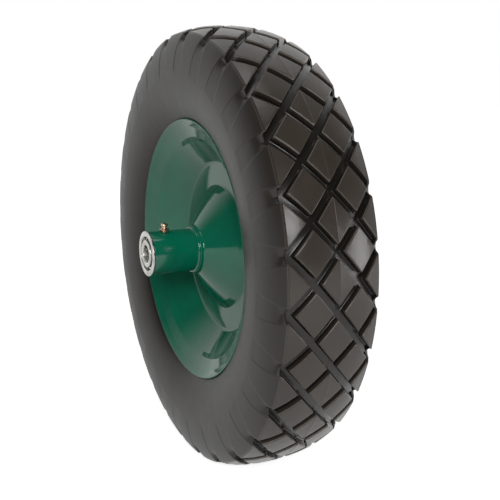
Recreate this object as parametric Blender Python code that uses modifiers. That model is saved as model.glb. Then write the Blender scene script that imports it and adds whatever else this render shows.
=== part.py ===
"""Flat-free wheelbarrow wheel: a solid foam tyre on a two-piece pressed rim, with a
greased hub tube and a flanged ball bearing in each end.

Metres, +Z up. The origin is the wheel's centre and the axle lies along Y. The front
side, with the grease nipple, faces -Y. Turned pieces are drawn as radius and width,
where width counts outwards from the wheel's mid-plane, so that the same profile serves
both sides.
"""

import math

import bmesh
import bpy
from mathutils import Matrix, Vector

# Clearances and facets
SEAT_GAP = 0.0003          # between pieces that touch
MERGE = 0.00001            # points closer than this are one point
FACET_TURN = math.radians(40)      # how far a fillet turns from one facet to the next

# Bearings, from the bore outwards
BORE_RADIUS = 0.00795
INNER_RACE_WALL = 0.00165  # at the bottom of the balls' groove
BALL_RADIUS = 0.003175
OUTER_RACE_WALL = 0.0009   # at the bottom of the balls' groove
BALL_SPACING = 0.0003      # least gap from one ball to the next
INNER_LAND_DROP = 0.0007   # how far the inner race stops inside the balls' circle
OUTER_LAND_RISE = 0.0025   # how far the outer race stops outside the balls' circle
RACE_FRONT = 0.0025        # from the inner race's face to the balls' groove
RACE_BACK = 0.0015         # from the balls' groove to the inner race's back
FLANGE_LIP = 0.0009        # how far the bearing's flange stands out of the tube
FLANGE_THICKNESS = 0.0016
INNER_RACE_PROUD = 0.0005  # how far the inner race stands out of the flange
RACE_STEPS = 20

# Hub
HUB_LENGTH = 0.1524        # over the faces of the two inner races
TUBE_WALL = 0.00175
TUBE_CHAMFER = 0.0004
TUBE_STEPS = 32
WELD_LEG = 0.0018

# Rim, pressed from sheet in two halves. Each run is how far the next bend lies outwards from
# the last, and each rise how much further it lies from the mid-plane.
SHEET = 0.0020
DISH_RADIUS = 0.0515       # to the shoulder of the dished centre
DISH_HEIGHT = 0.0200       # of the dished centre, from its shoulder to the neck
NECK_LENGTH = 0.0036
FOOT_RUN = 0.0060          # from the dish's shoulder down to the flat web
FOOT_RISE = 0.00605
WEB_RUN = 0.0225
BAND_RUN = 0.0195          # the sloping band between the web and the bead seat
BAND_RISE = 0.02035
SEAT_RUN = 0.0030
SEAT_RISE = 0.0047
FLANGE_RUN = 0.0100
FLANGE_RISE = 0.0050
EDGE_RUN = 0.0060          # the outermost, steeper stretch of the flange
EDGE_RISE = 0.0043
NECK_FILLET = 0.0022
FOOT_FILLET = 0.0040
FOLD_FILLET = 0.0050
SEAT_FILLET = 0.0040
RIM_STEPS = 40

# Tyre
TYRE_RADIUS = 0.200        # over the tread at the centre line
PITCHES = 28               # grooves of one hand round the tread
TREAD_TURN = math.radians(9.2)     # of the tread's first crossing above +X
COLUMN_STEP = 0.0190       # across the tread from one row of groove crossings to the next
COLUMNS = 2                # rows of crossings from the centre line to the shoulder
CROWN_DROP = 0.0065        # how much lower the tread lies at the shoulder
CROWN_POWER = 2.8          # higher keeps the middle of the tread flatter
GROOVE_DEPTH = 0.0065
GROOVE_FLOOR = 0.0044      # width of the groove's flat floor
GROOVE_DRAFT = 0.0011      # how far each groove wall leans out
MOUTH_DROP = 0.0195        # from the shoulder in to the tips of the groove mouths
MOUTH_RISE = 0.0072        # how much wider the tyre is at those tips than at the shoulder
SHOULDER_BULGE = 0.0020    # roundness of the shoulder between tread and side
SIDE_BULGE = 0.0050        # roundness of the side wall
TOE_LIFT = 0.0024          # how far the tyre's side stops outside the rim's edge
WELL_FLAT = 0.0050         # how far the tyre's inner face stops outside the rim's fold
MOUTH_ROWS = 3
SIDE_ROWS = 3

# Grease nipple
NIPPLE_INSET = 0.0167      # from the end of the hub
NIPPLE_TILT = math.radians(10)
NIPPLE_PASSAGE_RADIUS = 0.0008
NIPPLE_SHANK_RADIUS = 0.0029
NIPPLE_SHANK_LENGTH = 0.0036
NIPPLE_HEX_RADIUS = 0.0046
NIPPLE_HEX_HEIGHT = 0.0030
NIPPLE_SHOULDER = 0.0009   # height of the cone from the hexagon to the neck
NIPPLE_NECK_RADIUS = 0.0020
NIPPLE_NECK_LENGTH = 0.0012
NIPPLE_HEAD_RADIUS = 0.0031
NIPPLE_HEAD_HEIGHT = 0.0026
NIPPLE_HEAD_ROUND = 0.00065
NIPPLE_STEPS = 16

# Worked out from the above: bearings and hub
HUB_HALF = HUB_LENGTH / 2
BALL_SEAT_RADIUS = BALL_RADIUS + SEAT_GAP
BALL_CIRCLE_RADIUS = BORE_RADIUS + INNER_RACE_WALL + BALL_SEAT_RADIUS
BALLS = int(math.pi / math.asin((BALL_RADIUS + BALL_SPACING / 2) / BALL_CIRCLE_RADIUS))
BALL_WIDTH = HUB_HALF - RACE_FRONT - BALL_SEAT_RADIUS
RACE_END = BALL_WIDTH - BALL_SEAT_RADIUS - RACE_BACK
OUTER_RACE_RADIUS = BALL_CIRCLE_RADIUS + BALL_SEAT_RADIUS + OUTER_RACE_WALL
FLANGE_FACE = HUB_HALF - INNER_RACE_PROUD
TUBE_BORE_RADIUS = OUTER_RACE_RADIUS + SEAT_GAP
TUBE_RADIUS = TUBE_BORE_RADIUS + TUBE_WALL
TUBE_HALF = FLANGE_FACE - FLANGE_THICKNESS - SEAT_GAP

# Rim and tyre
NECK_RADIUS = TUBE_RADIUS + SEAT_GAP + SHEET
WEB_FACE = SEAT_GAP / 2 + SHEET
DISH_TOP = WEB_FACE + FOOT_RISE + DISH_HEIGHT
NECK_TOP = DISH_TOP + NECK_LENGTH
FOLD_RADIUS = DISH_RADIUS + FOOT_RUN + WEB_RUN
HALF_PITCH = math.pi / PITCHES
SHOULDER_HALF_WIDTH = COLUMNS * COLUMN_STEP

COLOURS = {
    "tyre": ((0.050, 0.045, 0.042), 0.55, 0.0),
    "green_paint": ((0.004, 0.100, 0.055), 0.22, 0.0),
    "bright_steel": ((0.60, 0.60, 0.58), 0.28, 1.0),
    "ball_steel": ((0.72, 0.72, 0.72), 0.12, 1.0),
    "brass": ((0.72, 0.45, 0.25), 0.30, 1.0),
}


def clear_scene():
    for thing in list(bpy.data.objects):
        bpy.data.objects.remove(thing)


def new_collection(name):
    group = bpy.data.collections.new(name)
    bpy.context.scene.collection.children.link(group)
    return group


def finish(name):
    colour, roughness, metallic = COLOURS[name]
    material = bpy.data.materials.new(name)
    material.use_nodes = True
    shader = material.node_tree.nodes["Principled BSDF"]
    shader.inputs["Base Color"].default_value = (*colour, 1.0)
    shader.inputs["Roughness"].default_value = roughness
    shader.inputs["Metallic"].default_value = metallic
    return material


def side_frame(name, turn, group):
    """An empty on the axle whose own +Z points out of one side of the wheel."""
    empty = bpy.data.objects.new(name, None)
    empty.rotation_euler = (turn, 0, 0)
    empty.empty_display_size = HUB_HALF
    group.objects.link(empty)
    return empty


def add_piece(name, mesh, material, parent, group):
    piece = bpy.data.objects.new(name, mesh)
    piece.parent = parent
    mesh.materials.append(material)
    group.objects.link(piece)
    return piece


def add_helper(name, bm, place_at, cutters):
    """A solid that only cuts or joins another, and isn't a piece of the wheel."""
    mesh = bpy.data.meshes.new(name)
    bm.to_mesh(mesh)
    bm.free()
    helper = bpy.data.objects.new(name, mesh)
    helper.matrix_world = place_at
    helper.hide_render = True
    helper.display_type = "WIRE"
    cutters.objects.link(helper)
    return helper


def rounded(corners):
    """Points of a line through (radius, width) corners. A third number rounds a corner by an arc,
    no longer than half of the shorter run beside it."""
    points = [Vector(corners[0][:2])]
    for before, corner, after in zip(corners, corners[1:], corners[2:]):
        here = Vector(corner[:2])
        inwards = Vector(before[:2]) - here
        outwards = Vector(after[:2]) - here
        if len(corner) == 2:
            points.append(here)
            continue
        half_bend = (math.pi - inwards.angle(outwards)) / 2
        reach = min(corner[2] * math.tan(half_bend), min(inwards.length, outwards.length) / 2)
        radius = reach / math.tan(half_bend)
        middle = (inwards.normalized() + outwards.normalized()).normalized()
        centre = here + middle * radius / math.cos(half_bend)
        start = here + inwards.normalized() * reach - centre
        side = math.copysign(1, start.x * outwards.y - start.y * outwards.x)
        steps = max(1, round(2 * half_bend / FACET_TURN))
        for step in range(steps + 1):
            turn = side * 2 * half_bend * step / steps
            points.append(centre + Matrix.Rotation(turn, 2) @ start)
    points.append(Vector(corners[-1][:2]))
    return points


def arc(centre, radius, first, last, steps):
    """Points on an arc, from one angle to another, as (radius, width)."""
    return [
        Vector((centre[0] + radius * math.cos(angle), centre[1] + radius * math.sin(angle)))
        for angle in (first + (last - first) * step / steps for step in range(steps + 1))
    ]


def beside(points, distance):
    """The line that runs at a distance behind another, away from its visible face."""
    runs = [(end - start).normalized() for start, end in zip(points, points[1:])]
    moved = []
    for point, before, after in zip(points, [runs[0], *runs], [*runs, runs[-1]]):
        normal = Vector((before.y + after.y, -before.x - after.x)).normalized()
        moved.append(point + normal * distance / normal.dot(Vector((after.y, -after.x))))
    return moved


def turned(name, profile, steps, material, parent, group, closed=True):
    """A piece turned about its own Z from a profile of (radius, width) points."""
    bm = bmesh.new()
    line = [bm.verts.new((point[0], 0, point[1])) for point in profile]
    for start, end in zip(line, line[1:]):
        bm.edges.new((start, end))
    if closed:
        bm.edges.new((line[-1], line[0]))
    mesh = bpy.data.meshes.new(name)
    bm.to_mesh(mesh)
    bm.free()
    piece = add_piece(name, mesh, material, parent, group)
    screw = piece.modifiers.new("Turn", "SCREW")
    screw.axis = "Z"
    screw.steps = screw.render_steps = steps
    screw.use_merge_vertices = True
    screw.merge_threshold = MERGE
    screw.use_smooth_shade = True
    return piece


def crown_radius(width):
    """Radius of the tread's outer surface at a width from the mid-plane."""
    return TYRE_RADIUS - CROWN_DROP * abs(width / SHOULDER_HALF_WIDTH) ** CROWN_POWER


def tread_strip():
    """The lugs between two neighbouring grooves, from the centre line to the shoulder, laid flat.

    X runs across the tread, Y round it and Z outwards from the crown. The strip starts as a row
    of square cells, sheared into diamonds; each is inset to its groove floor and raised to a lug.
    """
    half_pitch = HALF_PITCH * TYRE_RADIUS
    bm = bmesh.new()
    bmesh.ops.create_grid(bm, x_segments=COLUMNS + 1, y_segments=1, size=0.5)
    cells = list(bm.faces)
    for vert in bm.verts:
        along = (vert.co.x + 0.5) * (COLUMNS + 1)
        across = vert.co.y + 0.5
        vert.co = ((along - across) * COLUMN_STEP, (along + across) * half_pitch, -GROOVE_DEPTH)
    bmesh.ops.inset_individual(bm, faces=cells, thickness=GROOVE_FLOOR / 2, use_even_offset=True)
    bmesh.ops.inset_individual(
        bm, faces=cells, thickness=GROOVE_DRAFT, depth=GROOVE_DEPTH, use_even_offset=True
    )
    tops = [cell for cell in cells if cell.calc_center_median().x < SHOULDER_HALF_WIDTH - MERGE]
    bmesh.ops.poke(bm, faces=tops)
    for plane, outwards in ((0.0, -1.0), (SHOULDER_HALF_WIDTH, 1.0)):
        bmesh.ops.bisect_plane(
            bm, geom=bm.verts[:] + bm.edges[:] + bm.faces[:], dist=MERGE,
            plane_co=(plane, 0, 0), plane_no=(outwards, 0, 0), clear_outer=True,
        )
    return bm


def wrap_round(bm):
    """Bends the flat strip onto the crown, about Z."""
    for vert in bm.verts:
        width, along, height = vert.co
        place(vert, crown_radius(width) + height, width, along / TYRE_RADIUS)


def polar(vert):
    return math.hypot(vert.co.x, vert.co.y), math.atan2(vert.co.y, vert.co.x)


def place(vert, radius, width, angle):
    vert.co = (radius * math.cos(angle), radius * math.sin(angle), width)


def border(bm, width):
    """The open edges that lie at one width."""
    return [
        edge for edge in bm.edges
        if edge.is_boundary and all(abs(vert.co.z - width) <= MERGE for vert in edge.verts)
    ]


def extrude_border(bm, edges):
    """Pulls a new row of faces out of an open border; gives its points and its new border."""
    new = bmesh.ops.extrude_edge_only(bm, edges=edges)["geom"]
    points = {item for item in new if isinstance(item, bmesh.types.BMVert)}
    open_edges = {edge for point in points for edge in point.link_edges if edge.is_boundary}
    return points, [edge for edge in open_edges if all(vert in points for vert in edge.verts)]


def bowed(start, end, part, bulge):
    """A point part of the way from start to end, on a line that bows out by bulge half-way."""
    across = (end - start).normalized()
    return start.lerp(end, part) + Vector((across.y, -across.x)) * bulge * 4 * part * (1 - part)


def tread_shoulder():
    """The tread's outer edge, as (radius, width)."""
    return Vector((crown_radius(SHOULDER_HALF_WIDTH), SHOULDER_HALF_WIDTH))


def mouth_tip():
    """Where the groove mouths run out, at the tyre's widest."""
    return tread_shoulder() + Vector((-MOUTH_DROP, MOUTH_RISE))


def add_groove_mouths(bm):
    """Takes the shoulder down to the side wall, where each groove runs out as a tapering notch.

    A point belongs to a mouth when it is nearer to it than to the middle of a lug. The mouths
    narrow row by row to a tip, and their floors come up to the surface there.
    """
    shoulder = tread_shoulder()
    floor = shoulder - Vector((GROOVE_DEPTH, 0))
    tip = mouth_tip()
    half_depth = (shoulder.x + floor.x) / 2
    raised = [
        edge for edge in border(bm, shoulder.y)
        if all(polar(vert)[0] > half_depth for vert in edge.verts)
    ]
    bmesh.ops.subdivide_edges(bm, edges=raised, cuts=1)
    edges = border(bm, shoulder.y)
    for vert in {vert for edge in edges for vert in edge.verts}:
        radius, angle = polar(vert)
        if radius > half_depth:
            place(vert, shoulder.x, shoulder.y, angle)
    for row in range(MOUTH_ROWS):
        part = row / MOUTH_ROWS
        next_part = (row + 1) / MOUTH_ROWS
        half_depth = (bowed(shoulder, tip, part, SHOULDER_BULGE).x + floor.lerp(tip, part).x) / 2
        surface = bowed(shoulder, tip, next_part, SHOULDER_BULGE)
        notch = floor.lerp(tip, next_part)
        narrowing = (1 - next_part) / (1 - part)
        points, edges = extrude_border(bm, edges)
        for vert in points:
            radius, angle = polar(vert)
            middle = round(angle / (2 * HALF_PITCH)) * 2 * HALF_PITCH
            if abs(angle - middle) < HALF_PITCH / 2:
                angle = middle + (angle - middle) * narrowing
            target = notch if radius < half_depth else surface
            place(vert, target.x, target.y, angle)
    bmesh.ops.remove_doubles(bm, verts=bm.verts[:], dist=MERGE)
    return border(bm, tip.y)


def rim_face():
    """The visible face of one rim half, from the neck's open end out to the flange's edge."""
    seat_inner = Vector((FOLD_RADIUS + BAND_RUN, WEB_FACE + BAND_RISE))
    seat_outer = seat_inner + Vector((SEAT_RUN, SEAT_RISE))
    bend = seat_outer + Vector((FLANGE_RUN, FLANGE_RISE))
    edge = bend + Vector((EDGE_RUN, EDGE_RISE))
    return rounded([
        (NECK_RADIUS, NECK_TOP),
        (NECK_RADIUS, DISH_TOP, NECK_FILLET),
        (DISH_RADIUS, WEB_FACE + FOOT_RISE),
        (DISH_RADIUS + FOOT_RUN, WEB_FACE, FOOT_FILLET),
        (FOLD_RADIUS, WEB_FACE, FOLD_FILLET),
        tuple(seat_inner),
        (*seat_outer, SEAT_FILLET),
        tuple(bend),
        tuple(edge),
    ])


def tyre_well():
    """The tyre's inner line: from the rim's edge down the rim's back, then flat to the mid-plane."""
    line = beside(rim_face(), SHEET + SEAT_GAP)[::-1]
    bottom = FOLD_RADIUS + WELL_FLAT
    seated = [point for point in line if point.x > bottom]
    last = seated[-1]
    below = line[len(seated)]
    corner = last.lerp(below, (last.x - bottom) / (last.x - below.x))
    return [*seated, corner, Vector((bottom, 0.0))]


def make_tyre(material, parent, group):
    bm = tread_strip()
    wrap_round(bm)
    bmesh.ops.spin(
        bm, geom=bm.verts[:] + bm.edges[:] + bm.faces[:], cent=(0, 0, 0), axis=(0, 0, 1),
        angle=2 * math.pi * (PITCHES - 1) / PITCHES, steps=PITCHES - 1, use_duplicate=True,
    )
    bmesh.ops.remove_doubles(bm, verts=bm.verts[:], dist=MERGE)
    edges = add_groove_mouths(bm)
    rim_edge = rim_face()[-1]
    toe = rim_edge + Vector((TOE_LIFT, 0))
    side = [bowed(mouth_tip(), toe, row / SIDE_ROWS, SIDE_BULGE) for row in range(1, SIDE_ROWS + 1)]
    for target in side + tyre_well():
        points, edges = extrude_border(bm, edges)
        for vert in points:
            place(vert, target.x, target.y, polar(vert)[1])
    bmesh.ops.recalc_face_normals(bm, faces=bm.faces[:])
    mesh = bpy.data.meshes.new("tyre")
    bm.to_mesh(mesh)
    bm.free()
    tyre = add_piece("tyre", mesh, material, parent, group)
    tyre.rotation_euler.z = TREAD_TURN
    mirror = tyre.modifiers.new("Other side", "MIRROR")
    mirror.use_axis = (False, False, True)
    mirror.merge_threshold = MERGE
    return tyre


def make_rim_half(side, material, parent, group):
    rim = turned(f"rim_half_{side}", rim_face(), RIM_STEPS, material, parent, group, closed=False)
    wall = rim.modifiers.new("Sheet", "SOLIDIFY")
    wall.thickness = SHEET
    wall.offset = -1
    wall.use_even_offset = True
    return rim


def make_tube(material, parent, group, cutters):
    """The hub tube, with the drilled hole that the grease nipple screws into."""
    tube = turned("hub_tube", [
        (TUBE_RADIUS - TUBE_CHAMFER, TUBE_HALF),
        (TUBE_RADIUS, TUBE_HALF - TUBE_CHAMFER),
        (TUBE_RADIUS, -TUBE_HALF + TUBE_CHAMFER),
        (TUBE_RADIUS - TUBE_CHAMFER, -TUBE_HALF),
        (TUBE_BORE_RADIUS, -TUBE_HALF),
        (TUBE_BORE_RADIUS, TUBE_HALF),
    ], TUBE_STEPS, material, parent, group)
    hole = bmesh.new()
    bmesh.ops.create_cone(
        hole, cap_ends=True, segments=NIPPLE_STEPS, radius1=NIPPLE_SHANK_RADIUS + SEAT_GAP,
        radius2=NIPPLE_SHANK_RADIUS + SEAT_GAP, depth=TUBE_RADIUS,
    )
    drill = add_helper("nipple_drill", hole, nipple_place(), cutters)
    cut = tube.modifiers.new("Nipple hole", "BOOLEAN")
    cut.object = drill
    cut.operation = "DIFFERENCE"
    return tube


def nipple_place():
    """Where the nipple stands, on top of the tube: its own Z points away from the axle."""
    along_hub = Matrix.Translation((0, NIPPLE_INSET - HUB_HALF, 0))
    turn = Matrix.Rotation(NIPPLE_TILT, 4, "Y")
    return along_hub @ turn @ Matrix.Translation((0, 0, TUBE_RADIUS))


def make_neck_weld(side, material, parent, group):
    """The weld ring in the corner between the neck's open end and the tube."""
    corner = (TUBE_RADIUS + SEAT_GAP, NECK_TOP + SEAT_GAP)
    bead = arc(corner, WELD_LEG, math.pi / 2, 0, 2)
    return turned(f"neck_weld_{side}", [*bead, corner], TUBE_STEPS, material, parent, group)


def make_outer_race(side, material, parent, group):
    land = BALL_CIRCLE_RADIUS + OUTER_LAND_RISE
    reach = math.acos(OUTER_LAND_RISE / BALL_SEAT_RADIUS)
    flange_radius = TUBE_RADIUS + FLANGE_LIP
    under_flange = FLANGE_FACE - FLANGE_THICKNESS
    return turned(f"outer_race_{side}", [
        (flange_radius, FLANGE_FACE),
        (flange_radius, under_flange),
        (OUTER_RACE_RADIUS, under_flange),
        (OUTER_RACE_RADIUS, RACE_END),
        (land, RACE_END),
        *arc((BALL_CIRCLE_RADIUS, BALL_WIDTH), BALL_SEAT_RADIUS, -reach, reach, 4),
        (land, FLANGE_FACE),
    ], RACE_STEPS, material, parent, group)


def make_inner_race(side, material, parent, group):
    land = BALL_CIRCLE_RADIUS - INNER_LAND_DROP
    reach = math.acos(-INNER_LAND_DROP / BALL_SEAT_RADIUS)
    return turned(f"inner_race_{side}", [
        (land, HUB_HALF),
        *arc((BALL_CIRCLE_RADIUS, BALL_WIDTH), BALL_SEAT_RADIUS, reach, 2 * math.pi - reach, 5),
        (land, RACE_END),
        (BORE_RADIUS, RACE_END),
        (BORE_RADIUS, HUB_HALF),
    ], RACE_STEPS, material, parent, group)


def make_balls(side, material, parent, group):
    """A full ring of balls, each its own piece, on an empty that turns about the axle."""
    ring = bpy.data.objects.new(f"ball_ring_{side}", None)
    ring.parent = parent
    group.objects.link(ring)
    mesh = bpy.data.meshes.new("ball")
    bm = bmesh.new()
    bmesh.ops.create_icosphere(bm, subdivisions=2, radius=BALL_RADIUS)
    bm.to_mesh(mesh)
    bm.free()
    mesh.materials.append(material)
    for index in range(BALLS):
        angle = 2 * math.pi * index / BALLS
        ball = bpy.data.objects.new(f"ball_{side}_{index + 1:02d}", mesh)
        ball.parent = ring
        ball.location = (
            BALL_CIRCLE_RADIUS * math.cos(angle), BALL_CIRCLE_RADIUS * math.sin(angle), BALL_WIDTH
        )
        group.objects.link(ball)


def make_grease_nipple(material, group, cutters):
    """A turned shank, neck and head with the grease passage through them, on a hexagon."""
    hex_top = SEAT_GAP + NIPPLE_HEX_HEIGHT
    neck_top = hex_top + NIPPLE_SHOULDER + NIPPLE_NECK_LENGTH
    top = neck_top + NIPPLE_HEAD_HEIGHT
    nipple = turned("grease_nipple", [
        (NIPPLE_PASSAGE_RADIUS, top),
        ((NIPPLE_PASSAGE_RADIUS + NIPPLE_HEAD_RADIUS) / 2, top),
        (NIPPLE_HEAD_RADIUS, top - NIPPLE_HEAD_ROUND),
        (NIPPLE_HEAD_RADIUS, neck_top + NIPPLE_HEAD_ROUND),
        (NIPPLE_NECK_RADIUS, neck_top),
        (NIPPLE_NECK_RADIUS, hex_top + NIPPLE_SHOULDER),
        (NIPPLE_SHANK_RADIUS, hex_top),
        (NIPPLE_SHANK_RADIUS, -NIPPLE_SHANK_LENGTH),
        (NIPPLE_PASSAGE_RADIUS, -NIPPLE_SHANK_LENGTH),
    ], NIPPLE_STEPS, material, None, group)
    nipple.matrix_world = nipple_place()
    middle = Matrix.Translation((0, 0, SEAT_GAP + NIPPLE_HEX_HEIGHT / 2))
    outside = bmesh.new()
    bmesh.ops.create_cone(
        outside, cap_ends=True, segments=6, radius1=NIPPLE_HEX_RADIUS, radius2=NIPPLE_HEX_RADIUS,
        depth=NIPPLE_HEX_HEIGHT, matrix=middle,
    )
    inside = bmesh.new()
    bmesh.ops.create_cone(
        inside, cap_ends=True, segments=NIPPLE_STEPS, radius1=NIPPLE_SHANK_RADIUS - SEAT_GAP,
        radius2=NIPPLE_SHANK_RADIUS - SEAT_GAP, depth=2 * NIPPLE_HEX_HEIGHT, matrix=middle,
    )
    hexagon = add_helper("nipple_hexagon", outside, nipple.matrix_world, cutters)
    hollow = add_helper("nipple_hollow", inside, nipple.matrix_world, cutters)
    cut = hexagon.modifiers.new("Hollow", "BOOLEAN")
    cut.object = hollow
    cut.operation = "DIFFERENCE"
    join = nipple.modifiers.new("Hexagon", "BOOLEAN")
    join.object = hexagon
    join.operation = "UNION"
    return nipple


def main():
    clear_scene()
    wheel = new_collection("flat_free_wheel")
    cutters = new_collection("cutters")
    foam = finish("tyre")
    paint = finish("green_paint")
    steel = finish("bright_steel")
    ball_steel = finish("ball_steel")
    brass = finish("brass")
    front = side_frame("front_side", math.pi / 2, wheel)
    back = side_frame("back_side", -math.pi / 2, wheel)
    make_tyre(foam, front, wheel)
    make_tube(paint, front, wheel, cutters)
    for side, frame in (("front", front), ("back", back)):
        make_rim_half(side, paint, frame, wheel)
        make_neck_weld(side, paint, frame, wheel)
        make_outer_race(side, steel, frame, wheel)
        make_inner_race(side, steel, frame, wheel)
        make_balls(side, ball_steel, frame, wheel)
    make_grease_nipple(brass, wheel, cutters)


main()
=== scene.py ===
"""Flat-free wheelbarrow wheel: a solid foam tyre on a green pressed rim, with a greased hub.

Metres. The axle lies along Y, +Z is up, and the front, with the grease nipple, faces -Y.
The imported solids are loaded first, and each operator below models one piece, or one group of
like pieces, in the place of its solids. Outlines of turned pieces are (radius, width) points,
where width counts outwards from the wheel's mid-plane.
"""

import math

import bmesh
import bpy
from bpy.props import FloatProperty, FloatVectorProperty, IntProperty, PointerProperty
from mathutils import Matrix, Vector
from mathutils.geometry import interpolate_bezier


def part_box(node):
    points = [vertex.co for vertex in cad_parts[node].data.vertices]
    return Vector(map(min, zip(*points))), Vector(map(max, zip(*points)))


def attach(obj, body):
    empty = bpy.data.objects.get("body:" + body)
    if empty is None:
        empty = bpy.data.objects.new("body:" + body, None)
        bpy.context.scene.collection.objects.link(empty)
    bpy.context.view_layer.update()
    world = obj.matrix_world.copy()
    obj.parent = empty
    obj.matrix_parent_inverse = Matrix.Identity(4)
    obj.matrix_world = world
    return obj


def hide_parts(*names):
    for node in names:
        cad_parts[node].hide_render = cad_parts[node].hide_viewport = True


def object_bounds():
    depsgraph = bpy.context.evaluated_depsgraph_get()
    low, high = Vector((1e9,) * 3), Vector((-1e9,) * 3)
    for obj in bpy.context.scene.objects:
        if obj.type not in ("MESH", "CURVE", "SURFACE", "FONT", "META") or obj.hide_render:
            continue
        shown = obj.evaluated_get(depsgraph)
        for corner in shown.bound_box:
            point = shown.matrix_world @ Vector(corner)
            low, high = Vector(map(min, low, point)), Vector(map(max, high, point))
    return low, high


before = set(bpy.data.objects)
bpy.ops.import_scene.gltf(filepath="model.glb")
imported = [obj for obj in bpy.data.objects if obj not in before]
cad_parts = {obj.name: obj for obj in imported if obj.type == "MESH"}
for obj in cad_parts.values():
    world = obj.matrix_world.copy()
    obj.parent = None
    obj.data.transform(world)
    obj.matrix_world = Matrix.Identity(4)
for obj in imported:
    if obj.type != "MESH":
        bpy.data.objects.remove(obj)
CAD_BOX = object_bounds()

bl_info = {
    "name": "Flat-free wheel",
    "version": (1, 0, 0),
    "blender": (4, 5, 0),
    "location": "View3D > Sidebar > Wheel",
    "description": "Models and finishes a wheelbarrow wheel round its solids",
    "category": "Add Mesh",
}

MERGE = 0.00001                    # points closer than this are one point
CUT_GRIP = MERGE / 10              # points this close to a cut lie on it
FIT = 0.0003                       # pieces that touch are drawn this far apart
SIDES = (("front", -1), ("back", 1))
WHEEL_BODY = "wheel"

LUG_CUTS = (-0.67, -0.33, 0, 0.33, 0.67)       # lugs are cut at these shares, so that they can bend
SCOOP_NARROWS = 0.7                # under 1, a scoop keeps its width longer on its way out
SCOOP_RISES = 1.2                  # over 1, its floor comes up sooner
SCOOP_WALL = 2.2                   # higher makes its walls steeper
LEAN_ROWS = 6                      # rows in which a mouth's depth turns square to the tyre's side
SIDE_POINTS = 121                  # fine points on the tyre's side, from the shoulder to the toe
SIDE_ROWS = (                      # those that rows of faces are drawn through
    0, 1, 3, 5, 7, 9, 12, 15, 18, 22, 27, 32, 38, 44, 50, 56, 61, 63, 65, 70, 78, 86, 94, 102, 109,
    115, 120)
SHOULDER_HANDLE = (0.0120, -0.0128)            # how the side's curve leaves the shoulder
TOE_HANDLE = (0.0130, 0.0191)                  # and the toe, as (width, height)
WELL_STEP = 5                      # the hidden well takes every fifth point of the rim's back

RIM_FACE = (                       # corners as (radius, width), with the radius of a rounded one
    (0.0218, 0.03180),             # the neck's open end
    (0.0218, 0.02820, 0.0022),     # the neck turns into the cone
    (0.0515, 0.00820, 0.0050),     # the cone's foot
    (0.0575, 0.00215, 0.0040),     # the web's inner edge
    (0.0800, 0.00215, 0.0050),     # the web's outer edge
    (0.0995, 0.02250, 0.0030),     # the top of the sloping band
    (0.1025, 0.02720, 0.0040),     # the bead seat's ends
    (0.1125, 0.03220, 0.0060),
    (0.1185, 0.03650),             # the flange's edge
)
NIPPLE_BODY = (                    # corners as (radius, height above the tube), from the top
    (0.0008, 0.0080), (0.00195, 0.0080),                       # the head's hole and tip
    (0.0031, 0.00735, 0.0005), (0.0031, 0.00605, 0.0005),      # the head at its widest
    (0.0020, 0.0054, 0.0003), (0.0020, 0.0042, 0.0004),        # the neck
    (0.0029, 0.0031), (0.0029, -0.0036), (0.0008, -0.0036),    # the shank, through the tube's wall
)

GLOW_FADE = (0.35, 1.2)            # distances over which the floor brightens to white
GLOSS_FADE = (0.5, 1.8)            # the same, as gloss shows it
ROOM_FADE = (-0.1, 0.6)            # the room turns into the backdrop: -1 is in front, 1 behind
FLOOR_WHITE = 0.80                 # the floor's own colour
LIGHTS = (                         # name, place, width, and the setting with its power
    ("main_light", (1.18, -0.68, 0.63), 0.40, "main_power"),
    ("spark_light", (1.39, -0.34, 0.46), 0.26, "spark_power"),
    ("tread_light", (1.06, 1.06, 0.08), 0.50, "tread_power"),
    ("top_light", (0.10, -0.30, 1.60), 0.80, "top_power"),
)


def outer_radius(node):
    """How far a node reaches from the axle."""
    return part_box(node)[1].z


def outer_width(node):
    """How far a back-side node reaches from the mid-plane."""
    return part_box(node)[1].y


TREAD_RADIUS = outer_radius("tyre")


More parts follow.
